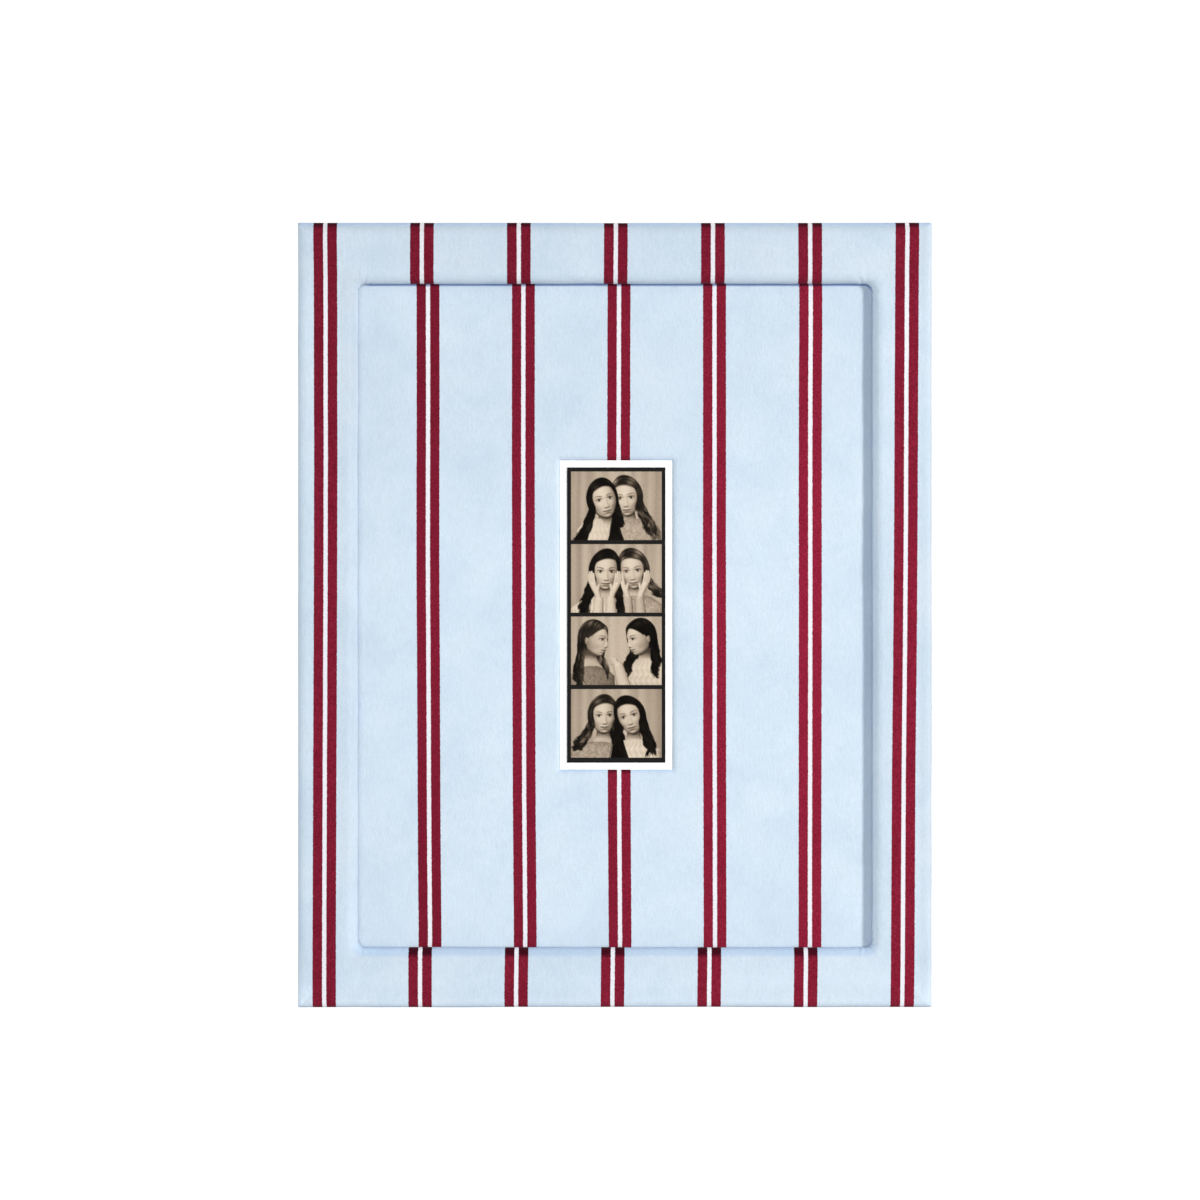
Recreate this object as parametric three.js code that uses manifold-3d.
// Fabric-wrapped picture frame with a recessed, fabric-covered mat that shows one
// 2 x 6 inch photo-booth strip. Millimetres, +Z up, front of the frame facing -Y.
//
// Depth is written as t, measured from the front of the velvet towards the back.
// Across a rail, s is measured from the outside of the velvet towards the opening.
import * as THREE from 'three';
import { mergeVertices } from 'three/addons/utils/BufferGeometryUtils.js';
import Module from 'manifold-3d';

const wasm = await Module();
wasm.setup();

// ---------------------------------------------------------------- driving sizes
const W = 326;               // outside width, over the velvet
const H = 404;               // outside height, over the velvet
const RAIL = 30.6;           // face width of a rail, over the velvet
const VELVET = 0.8;          // velvet, pile included
const GAP = 0.25;            // air between neighbouring pieces
const FACE_PAD = 0.9;        // batting on the face of the rails
const R_OUT = 3.5;           // roll of the outer front edge
const R_IN = 4.6;            // roll of the inner front edge
const LIP_BACK = 5.2;        // back of the wooden lip, in t
const REBATE_S = 22.8;       // side wall of the rebate, in s: it takes an 11 x 14 inch insert
const WOOD_BACK = 18.7;      // back face of the rails, in t
const FRAME_DEPTH = WOOD_BACK + GAP + VELVET; // front velvet to the back of the turned-over velvet
const BACK_HEM = 10.5;       // velvet turned over onto the back of the rails

const MAT_T = 6.5;           // front of the mat velvet, in t
const MAT_S = 23.4;          // outer edge of the covered mat, in s
const MAT_BOARD = 1.2;
const MAT_HEM = 0.6;         // velvet glued down behind the mat's outer edge
const WINDOW_W = 58.4;       // window in the mat
const WINDOW_H = 160;
const WINDOW_X = 0.75;       // the window is cut a hair to the right of the middle

const STRIP_W = 50.8;        // print, 2 x 6 inch
const STRIP_H = 152.4;
const STRIP_T = [7.1, 7.3];
const TAPE_T = [7.35, 7.5];
const MOUNT_FACE_T = 7.6;    // raised face of the mount: it fills the window
const MOUNT_W = 96, MOUNT_H = 198, MOUNT_T = [8.9, 11.2];
const FILLER_T = [11.4, 15.4];
const BACKING_T = [15.6, 18.6];

const BUTTON_S = 16.6;       // pivot of a turn button, in s
const BUTTON_T = [WOOD_BACK + 0.3, WOOD_BACK + 1.3];
const BUTTON_R = 4.5;
const BUTTON_REACH = 13.6;   // pivot to tip
const SCREW_R = 1.7;

const PIN_Z = 266;           // easel hinge pin
const PIN_T = WOOD_BACK + 3.8;
const PIN_R = 1.25;
const KNUCKLE_R = 2.6;
const KNUCKLE_BORE = 1.62;
const STRUT_T = [WOOD_BACK + 2.2, WOOD_BACK + 5.2];
const STRUT_TOP_W = 46;
const STRUT_FOOT_W = 86;
const STRUT_FOOT_Z = 4;
const LEAF = 0.9;            // hinge sheet thickness
const BACK_T = WOOD_BACK + 7.4; // rearmost point: rivet heads and wall bumpers

// ---------------------------------------------------------------- small helpers
// Position-only geometry with shared vertices and outward faces.
function tidy(geometry) {
  const g = geometry.clone();
  for (const name of Object.keys(g.attributes)) if (name !== 'position') g.deleteAttribute(name);
  const merged = mergeVertices(g, 1e-4);
  const p = merged.attributes.position, index = Array.from(merged.index.array);
  const a = new THREE.Vector3(), b = new THREE.Vector3(), c = new THREE.Vector3();
  let volume = 0;
  for (let i = 0; i < index.length; i += 3) {
    a.fromBufferAttribute(p, index[i]);
    b.fromBufferAttribute(p, index[i + 1]);
    c.fromBufferAttribute(p, index[i + 2]);
    volume += a.dot(b.cross(c));
  }
  if (volume < 0)
    for (let i = 0; i < index.length; i += 3) [index[i + 1], index[i + 2]] = [index[i + 2], index[i + 1]];
  merged.setIndex(index);
  return merged;
}

function solid(geometry) {
  const g = tidy(geometry);
  return new wasm.Manifold(new wasm.Mesh({
    numProp: 3,
    vertProperties: new Float32Array(g.attributes.position.array),
    triVerts: new Uint32Array(g.index.array),
  }));
}

function geometryOf(manifold) {
  const m = manifold.getMesh(), v = new Float32Array(m.numVert * 3);
  for (let i = 0; i < m.numVert; i++) v.set(m.vertProperties.subarray(i * m.numProp, i * m.numProp + 3), i * 3);
  return new THREE.BufferGeometry()
    .setAttribute('position', new THREE.BufferAttribute(v, 3))
    .setIndex(new THREE.BufferAttribute(new Uint32Array(m.triVerts), 1));
}

const cut = (geometry, ...tools) =>
  geometryOf(tools.reduce((body, tool) => body.subtract(solid(tool)), solid(geometry)));
const join = (geometry, ...others) =>
  geometryOf(others.reduce((body, other) => body.add(solid(other)), solid(geometry)));

// Moves every vertex of a geometry by a function of its position.
function mapped(geometry, place) {
  const g = geometry.index ? geometry.toNonIndexed() : geometry.clone();
  const p = g.attributes.position;
  for (let i = 0; i < p.count; i++) p.setXYZ(i, ...place(p.getX(i), p.getY(i), p.getZ(i)));
  return tidy(g);
}

const shapeOf = (points) => new THREE.Shape(points.map(([x, y]) => new THREE.Vector2(x, y)));
const extrude = (shape, depth, segments = 8) =>
  new THREE.ExtrudeGeometry(shape, { depth, bevelEnabled: false, steps: 1, curveSegments: segments });

// A plate parallel to the face of the frame: outline in (x, z), thickness from t0 to t1.
const plate = (shape, [t0, t1], segments) =>
  mapped(extrude(shape, t1 - t0, segments), (x, y, z) => [x, t0 + z, y]);
const slab = (x0, x1, z0, z1, t) =>
  plate(shapeOf([[x0, z0], [x1, z0], [x1, z1], [x0, z1]]), t);

// A bar along X: section in (t, z).
const barX = (points, x0, x1) =>
  mapped(extrude(shapeOf(points), x1 - x0), (t, z, along) => [x0 + along, t, z]);

// A round bar along X or along the depth.
const rodX = (r, x0, x1, t, z, sides = 16) =>
  new THREE.CylinderGeometry(r, r, x1 - x0, sides).rotateZ(Math.PI / 2).translate((x0 + x1) / 2, t, z);
const rodT = (r, t0, t1, x, z, sides = 12) =>
  new THREE.CylinderGeometry(r, r, t1 - t0, sides).translate(x, (t0 + t1) / 2, z);

// A turned piece along the depth: profile points are (radius, t).
const turned = (profile, x, z, sides = 14) =>
  tidy(new THREE.LatheGeometry(profile.map(([r, t]) => new THREE.Vector2(r, t)), sides).translate(x, 0, z));

// Points of an arc, angles in degrees.
function arc(cx, cy, r, from, to, steps) {
  const out = [];
  for (let i = 0; i <= steps; i++) {
    const a = THREE.MathUtils.degToRad(from + ((to - from) * i) / steps);
    out.push([cx + r * Math.cos(a), cy + r * Math.sin(a)]);
  }
  return out;
}

// A closed ring with mitred corners: the section (s, t) is carried round the outside rectangle.
function ring(section) {
  const n = section.length, position = [], index = [];
  for (const [sx, sz] of [[-1, -1], [1, -1], [1, 1], [-1, 1]])
    for (const [s, t] of section) position.push(sx * (W / 2 - s), t, H / 2 + sz * (H / 2 - s));
  for (let k = 0; k < 4; k++)
    for (let i = 0; i < n; i++) {
      const a = k * n + i, b = k * n + ((i + 1) % n), c = ((k + 1) % 4) * n + ((i + 1) % n), d = ((k + 1) % 4) * n + i;
      index.push(a, b, c, a, c, d);
    }
  return tidy(new THREE.BufferGeometry()
    .setAttribute('position', new THREE.Float32BufferAttribute(position, 3))
    .setIndex(index));
}

// One rail: the section extruded to length, its end vertices drawn in by s to make the mitres.
function rail(section, length, place) {
  const open = 0.15; // half of the glue line in the mitre
  return mapped(extrude(shapeOf(section), length), (s, t, along) =>
    place(s, t, along < length / 2 ? s + open : length - s - open));
}

// ---------------------------------------------------------------- materials
const finish = (colour, roughness, metalness = 0) =>
  new THREE.MeshStandardMaterial({ color: colour, roughness, metalness });
const velvetBlue = finish(0xd5e4f3, 0.95);
const batting = finish(0xf2efe6, 1.0);
const pine = finish(0xcfa873, 0.75);
const board = finish(0xe9e3d4, 0.9);
const whiteCard = finish(0xfbfbf8, 0.85);
const print = finish(0x8d7f6e, 0.45);
const tape = finish(0xf4f1e2, 0.6);
const foamCore = finish(0xf3f3f0, 0.9);
const backPaper = finish(0xe7dfcd, 0.9);
const brass = finish(0xb99a56, 0.35, 0.9);
const steel = finish(0xb9bcc0, 0.35, 0.95);
const felt = finish(0x6f2435, 1.0);

// Everything is drawn with t = 0 at the front; this group centres the depth on the origin.
const frame = new THREE.Group();
frame.position.set(0, -BACK_T / 2, 0);
function add(name, geometry, material) {
  const mesh = new THREE.Mesh(geometry, material);
  mesh.name = name;
  frame.add(mesh);
  return mesh;
}

// ---------------------------------------------------------------- positions of the fasteners
// Turn buttons: [x, z, direction of the tip in the plane of the back, degrees from +X towards +Z].
const buttons = {
  left_upper: [-(W / 2 - BUTTON_S), 310, 0],
  left_lower: [-(W / 2 - BUTTON_S), 94, 0],
  right_upper: [W / 2 - BUTTON_S, 310, 180],
  right_lower: [W / 2 - BUTTON_S, 94, 180],
  top_left: [-84, H - BUTTON_S, 270],
  top_right: [84, H - BUTTON_S, 270],
  bottom_left: [-96, BUTTON_S, 90],
  bottom_right: [96, BUTTON_S, 90],
};
const HANGER_Z = H - BUTTON_S; // middle of the sawtooth hanger
const hangerNails = { left: -20.5, right: 20.5 };
const BUMPER = { left: -(W / 2 - BUTTON_S), right: W / 2 - BUTTON_S };
const BUMPER_Z = 46;

// ---------------------------------------------------------------- wooden rails
const woodS0 = VELVET + GAP;
const woodS1 = RAIL - VELVET - GAP;
const woodT0 = VELVET + GAP + FACE_PAD + GAP;
const railSection = [
  [woodS0 + 0.05, 3.3], [2.0, woodT0], [28.5, woodT0], [29.3, 3.4], [woodS1, 4.7], [woodS1, LIP_BACK],
  [REBATE_S, LIP_BACK], [REBATE_S, WOOD_BACK], [woodS0 + 0.05, WOOD_BACK],
];
const places = {
  bottom: [W, (s, t, a) => [a - W / 2, t, s]],
  top: [W, (s, t, a) => [a - W / 2, t, H - s]],
  left: [H, (s, t, a) => [s - W / 2, t, a]],
  right: [H, (s, t, a) => [W / 2 - s, t, a]],
};

// V-nails pressed into the back of each mitre: a chevron of thin steel, its point to the outside corner.
const V_S = 15.5, V_LEG = 6.5, V_T = [WOOD_BACK - 9, WOOD_BACK - 0.3];
function chevron(cx, cz, dx, dz, thick, leg, t) {
  // d points from the outside corner towards the middle of the frame
  const half = thick / 2, k = Math.SQRT1_2;
  const local = [
    [-half * 1.2, 0], [leg * k - half * k, leg * k + half * k], [leg * k + half * k, leg * k - half * k],
    [half * 1.6, 0], [leg * k + half * k, -leg * k + half * k], [leg * k - half * k, -leg * k - half * k],
  ];
  const along = new THREE.Vector2(dx, dz).normalize(), across = new THREE.Vector2(-along.y, along.x);
  return plate(shapeOf(local.map(([u, v]) => [cx + u * along.x + v * across.x, cz + u * along.y + v * across.y])), t);
}
const corners = {
  bottom_left: [-(W / 2 - V_S), V_S, 1, 1],
  bottom_right: [W / 2 - V_S, V_S, -1, 1],
  top_left: [-(W / 2 - V_S), H - V_S, 1, -1],
  top_right: [W / 2 - V_S, H - V_S, -1, -1],
};

const railTools = [];
for (const [x, z] of Object.values(buttons)) railTools.push(rodT(SCREW_R + GAP, WOOD_BACK - 9.1, WOOD_BACK + 1, x, z));
for (const x of Object.values(hangerNails)) railTools.push(rodT(0.8 + GAP, WOOD_BACK - 7.1, WOOD_BACK + 1, x, HANGER_Z, 10));
for (const c of Object.values(corners)) railTools.push(chevron(...c, 1.2, V_LEG + 0.5, [V_T[0] - GAP, WOOD_BACK + 1]));
for (const [side, [length, place]] of Object.entries(places))
  add(`rail_${side}`, cut(rail(railSection, length, place), ...railTools), pine);
for (const [name, c] of Object.entries(corners)) add(`v_nail_${name}`, chevron(...c, 0.6, V_LEG, V_T), steel);

// ---------------------------------------------------------------- batting and velvet cover of the frame
add('face_batting', ring([
  [1.8, woodT0 - GAP], [2.4, 1.45], [R_OUT, VELVET + GAP],
  [RAIL - R_IN, VELVET + GAP], [RAIL - R_IN + 1.3, 1.4], [RAIL - R_IN + 2.2, woodT0 - GAP],
]), batting);

const outside = [
  [BACK_HEM, FRAME_DEPTH],
  ...arc(1.0, FRAME_DEPTH - 1.0, 1.0, 90, 180, 2),
  ...arc(R_OUT, R_OUT, R_OUT, 180, 270, 4),
  ...arc(RAIL - R_IN, R_IN, R_IN, -90, 0, 6),
  ...arc(RAIL - 0.8, LIP_BACK + GAP + VELVET - 0.8, 0.8, 0, 90, 2),
  [REBATE_S + 1.4, LIP_BACK + GAP + VELVET],
];
const inside = [
  [REBATE_S + 1.4, LIP_BACK + GAP],
  [RAIL - VELVET, LIP_BACK + GAP],
  ...arc(RAIL - R_IN, R_IN, R_IN - VELVET, 0, -90, 6),
  ...arc(R_OUT, R_OUT, R_OUT - VELVET, 270, 180, 4),
  [VELVET, FRAME_DEPTH - VELVET],
  [BACK_HEM, FRAME_DEPTH - VELVET],
];
add('frame_velvet', ring([...outside, ...inside]), velvetBlue);

// ---------------------------------------------------------------- mat
const matX = W / 2 - MAT_S, matZ0 = MAT_S, matZ1 = H - MAT_S, midZ = H / 2;
const winX = WINDOW_W / 2, winZ0 = midZ - WINDOW_H / 2, winZ1 = midZ + WINDOW_H / 2;
const boardT = [MAT_T + VELVET + 0.2, MAT_T + VELVET + 0.2 + MAT_BOARD];
const hemT = [boardT[1] + 0.2, boardT[1] + 0.2 + MAT_HEM];

const rect = (x0, x1, z0, z1) => shapeOf([[x0, z0], [x1, z0], [x1, z1], [x0, z1]]);
function withHole(outer, x0, x1, z0, z1) {
  outer.holes.push(new THREE.Path([[x0, z0], [x0, z1], [x1, z1], [x1, z0]].map(([x, y]) => new THREE.Vector2(x, y))));
  return outer;
}
const grown = (d) => [WINDOW_X - winX - d, WINDOW_X + winX + d, winZ0 - d, winZ1 + d];
const inset = (d) => [-matX + d, matX - d, matZ0 + d, matZ1 - d];

add('mat_board', plate(withHole(rect(...inset(VELVET + 0.2)), ...grown(VELVET + 0.2)), boardT), board);
add('mat_velvet', cut(
  plate(withHole(rect(...inset(0)), ...grown(0)), [MAT_T, hemT[1]]),
  plate(withHole(rect(...inset(VELVET)), ...grown(VELVET)), [MAT_T + VELVET, hemT[0]]),
  plate(rect(...inset(16)), [boardT[1], hemT[1] + 1]),
), velvetBlue);

// ---------------------------------------------------------------- print, mount and backing
const centred = (w, h, t) => slab(WINDOW_X - w / 2, WINDOW_X + w / 2, midZ - h / 2, midZ + h / 2, t);
add('photo_strip', centred(STRIP_W, STRIP_H, STRIP_T), print);
add('strip_tape_upper', slab(WINDOW_X - 18, WINDOW_X + 18, midZ + 52, midZ + 64, TAPE_T), tape);
add('strip_tape_lower', slab(WINDOW_X - 18, WINDOW_X + 18, midZ - 64, midZ - 52, TAPE_T), tape);
add('strip_mount', join(
  centred(MOUNT_W, MOUNT_H, MOUNT_T),
  centred(WINDOW_W - 2 * GAP, WINDOW_H - 2 * GAP, [MOUNT_FACE_T, MOUNT_T[0] + 1]),
), whiteCard);
add('filler_board', slab(...inset(0.3), FILLER_T), foamCore);

const rivetsFixed = { left: [-13, PIN_Z + 24], right: [13, PIN_Z + 24] };
const rivetsStrut = { upper: [0, PIN_Z - 17], lower: [0, PIN_Z - 38] };
add('backing_board', cut(
  slab(-(W / 2 - REBATE_S - 0.5), W / 2 - REBATE_S - 0.5, REBATE_S + 0.5, H - REBATE_S - 0.5, BACKING_T),
  ...Object.values(rivetsFixed).map(([x, z]) => rodT(1.4 + GAP, WOOD_BACK - 2.6, WOOD_BACK + 1, x, z)),
), backPaper);

// ---------------------------------------------------------------- turn buttons and their screws
for (const [name, [x, z, angle]] of Object.entries(buttons)) {
  const outline = shapeOf([
    ...arc(0, 0, BUTTON_R, 90, 270, 8),
    ...arc(BUTTON_REACH - 3, 0, 3, -70, 70, 5),
  ]);
  outline.holes.push(new THREE.Path().absarc(0, 0, SCREW_R + GAP, 0, Math.PI * 2, true));
  const a = THREE.MathUtils.degToRad(angle), c = Math.cos(a), n = Math.sin(a);
  add(`turn_button_${name}`, mapped(extrude(outline, BUTTON_T[1] - BUTTON_T[0], 6), (u, v, w) =>
    [x + u * c - v * n, BUTTON_T[0] + w, z + u * n + v * c]), brass);
  add(`button_screw_${name}`, turned([
    [0, 3.6], [1.7, 3.4], [3.0, 2.7], [3.5, 1.8], [3.5, 1.6], [SCREW_R, 1.6], [SCREW_R, -7], [0, -8.7],
  ].map(([r, t]) => [r, WOOD_BACK + t]), x, z, 12), brass);
}

// ---------------------------------------------------------------- easel: hinge, pin, strut, rivets
add('easel_hinge_plate', cut(
  join(
    plate(shapeOf([[-20, PIN_Z - 2], [20, PIN_Z - 2], [20, PIN_Z + 26], [14, PIN_Z + 34], [-14, PIN_Z + 34], [-20, PIN_Z + 26]]), [WOOD_BACK + 0.1, WOOD_BACK + 0.1 + LEAF]),
    barX([[WOOD_BACK + 0.3, PIN_Z - 1.6], [PIN_T, PIN_Z - 2.2], [PIN_T, PIN_Z + 2.2], [WOOD_BACK + 0.3, PIN_Z + 2.6]], -8, 8),
    rodX(KNUCKLE_R, -8, 8, PIN_T, PIN_Z),
  ),
  rodX(KNUCKLE_BORE, -30, 30, PIN_T, PIN_Z),
  ...Object.values(rivetsFixed).map(([x, z]) => rodT(1.4 + GAP, WOOD_BACK - 0.5, WOOD_BACK + 2, x, z)),
), steel);

const leafT = [PIN_T + KNUCKLE_R - LEAF, PIN_T + KNUCKLE_R];
add('easel_strut_leaf', cut(
  join(
    plate(shapeOf([
      [-16, PIN_Z], [-8.5, PIN_Z], [-8.5, PIN_Z - 3.4], [8.5, PIN_Z - 3.4], [8.5, PIN_Z], [16, PIN_Z],
      [16, PIN_Z - 10], [9, PIN_Z - 46], [-9, PIN_Z - 46], [-16, PIN_Z - 10],
    ]), leafT),
    rodX(KNUCKLE_R, -16, -8.5, PIN_T, PIN_Z),
    rodX(KNUCKLE_R, 8.5, 16, PIN_T, PIN_Z),
  ),
  rodX(KNUCKLE_BORE, -30, 30, PIN_T, PIN_Z),
  ...Object.values(rivetsStrut).map(([x, z]) => rodT(1.4 + GAP, leafT[0] - 0.7, leafT[1] + 1, x, z)),
), steel);

add('easel_hinge_pin', mapped(
  new THREE.LatheGeometry([[0, -17.4], [2.0, -17.3], [2.0, -16.4], [PIN_R, -16.4], [PIN_R, 16.4], [2.0, 16.4], [2.0, 17.3], [0, 17.4]]
    .map(([r, y]) => new THREE.Vector2(r, y)), 14),
  (x, y, z) => [y, PIN_T + x, PIN_Z + z]), steel);

const strutTop = PIN_Z - 5.5;
add('easel_strut', cut(
  plate(shapeOf([
    [-STRUT_FOOT_W / 2, STRUT_FOOT_Z], [STRUT_FOOT_W / 2, STRUT_FOOT_Z],
    [STRUT_TOP_W / 2, strutTop - 8], [STRUT_TOP_W / 2 - 8, strutTop], [-STRUT_TOP_W / 2 + 8, strutTop], [-STRUT_TOP_W / 2, strutTop - 8],
  ]), STRUT_T),
  ...Object.values(rivetsStrut).map(([x, z]) => rodT(1.4 + GAP, STRUT_T[0] + 0.5, STRUT_T[1] + 1, x, z)),
), backPaper);

const rivetProfile = (t) => [[0, t + 0.9], [1.6, t + 0.7], [2.8, t + 0.1], [2.8, t], [1.4, t], [1.4, t - 3.1], [0, t - 3.2]];
for (const [name, [x, z]] of Object.entries(rivetsFixed)) add(`hinge_rivet_${name}`, turned(rivetProfile(WOOD_BACK + 1.2), x, z, 12), brass);
for (const [name, [x, z]] of Object.entries(rivetsStrut)) add(`strut_rivet_${name}`, turned(rivetProfile(WOOD_BACK + 6.5), x, z, 12), brass);

// ---------------------------------------------------------------- sawtooth hanger, its nails, wall bumpers
const hangerSection = [
  [-25, 0.3], [-17, 0.3], [-13.5, 2.5], [13.5, 2.5], [17, 0.3], [25, 0.3],
  [25, 1.1], [17.3, 1.1], [13.8, 3.3], [-13.8, 3.3], [-17.3, 1.1], [-25, 1.1],
];
const teeth = [];
for (let i = -5; i <= 5; i++)
  teeth.push(plate(shapeOf([[i * 2.2 - 1.0, HANGER_Z - 4.5], [i * 2.2 + 1.0, HANGER_Z - 4.5], [i * 2.2, HANGER_Z - 2.0]]), [WOOD_BACK + 1.5, WOOD_BACK + 4.5]));
add('sawtooth_hanger', cut(
  mapped(extrude(shapeOf(hangerSection), 8), (x, t, along) => [x, WOOD_BACK + t, HANGER_Z - 4 + along]),
  ...teeth,
  ...Object.values(hangerNails).map((x) => rodT(0.8 + GAP, WOOD_BACK - 0.5, WOOD_BACK + 2.5, x, HANGER_Z, 10)),
), brass);
for (const [name, x] of Object.entries(hangerNails))
  add(`hanger_nail_${name}`, turned([[0, 2.2], [1.8, 2.0], [1.8, 1.4], [0.8, 1.4], [0.8, -5.5], [0, -6.7]].map(([r, t]) => [r, WOOD_BACK + t]), x, HANGER_Z, 10), brass);
for (const [name, x] of Object.entries(BUMPER))
  add(`wall_bumper_${name}`, turned([[0, BACK_T], [4.0, BACK_T], [5.0, BACK_T - 1.0], [5.0, WOOD_BACK + 0.3], [0, WOOD_BACK + 0.3]], x, BUMPER_Z, 16), felt);

export default frame;
